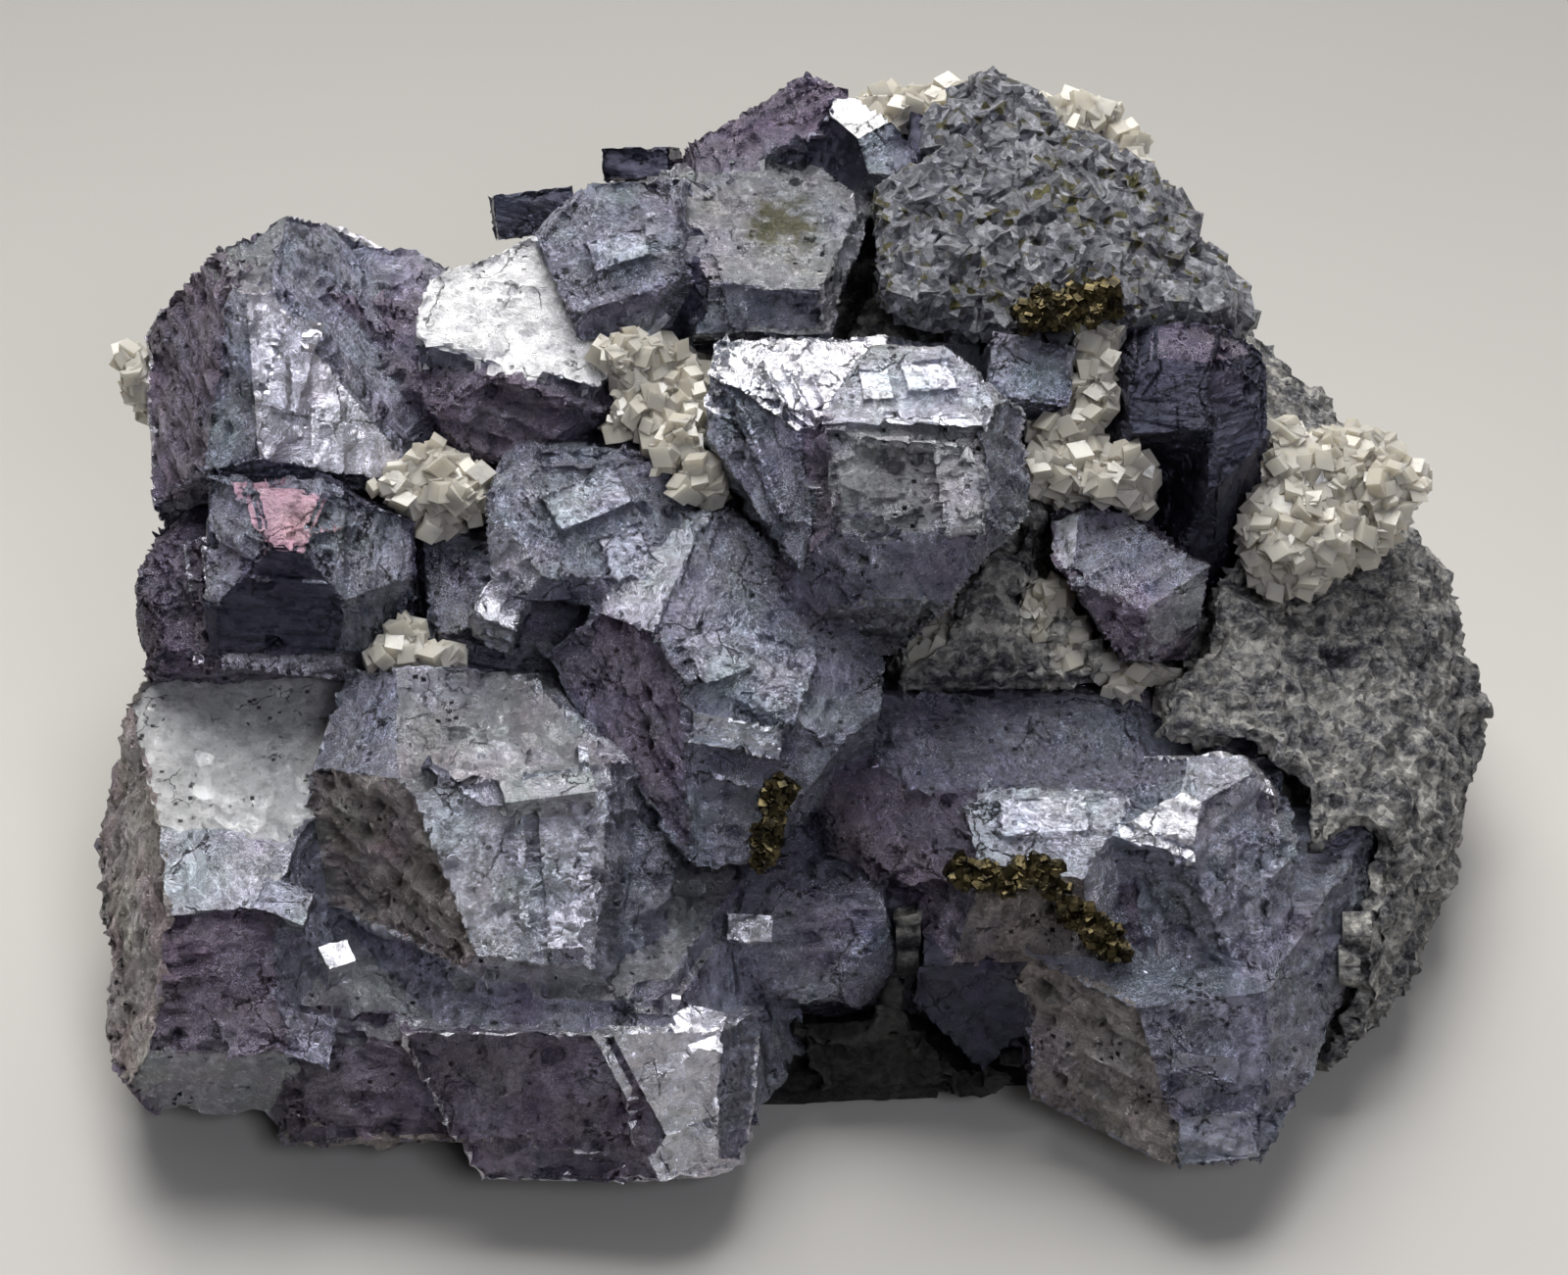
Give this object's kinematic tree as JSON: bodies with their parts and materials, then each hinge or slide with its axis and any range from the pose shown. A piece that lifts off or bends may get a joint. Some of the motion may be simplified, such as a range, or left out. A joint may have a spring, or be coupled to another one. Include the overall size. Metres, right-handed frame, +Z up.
{
  "type": "galena specimen",
  "caption": "Natural cluster of grey cuboctahedral galena crystals on grey host rock, with calcite in its pockets and pyrite crusts, cut flat underneath to stand on a shelf.",
  "frame": {"origin": "centre of the flat underside, at the middle of the footprint", "axes": "+X along the specimen's width, to the right as the crystals are faced; +Y to the back; +Z up from the flat underside"},
  "size_m": [0.0767, 0.0592, 0.0355],
  "materials": {
    "galena": "metallic lead grey, bright cleavage lustre with a purple-blue tarnish",
    "massive_galena": "fine-grained grey ore, dull with bright grains",
    "host_rock": "rough granular grey-green stone",
    "calcite": "translucent cream calcite with a glassy surface",
    "pyrite": "brassy yellow metallic grains"
  },
  "bodies": {
    "root": {"galena_lower_left": "galena", "galena_centre_left": "galena", "galena_lower_right": "galena", "galena_lower_middle": "galena", "galena_centre_pair": "galena", "galena_right_middle": "galena", "galena_right": "galena", "galena_left": "galena", "galena_upper_left": "galena", "galena_top": "galena", "massive_ore": "massive_galena", "host_rock": "host_rock", "calcite_upper_pocket": "calcite", "calcite_middle_pocket": "calcite", "calcite_right": "calcite", "calcite_back_left": "calcite", "calcite_back_right": "calcite", "calcite_left_pocket": "calcite", "calcite_lower_left_pocket": "calcite", "calcite_dark_pocket": "calcite", "calcite_under_middle": "calcite", "calcite_left_edge": "calcite", "pyrite_crust": "pyrite", "pyrite_on_middle": "pyrite", "pyrite_on_ore": "pyrite"}
  },
  "joints": []
}
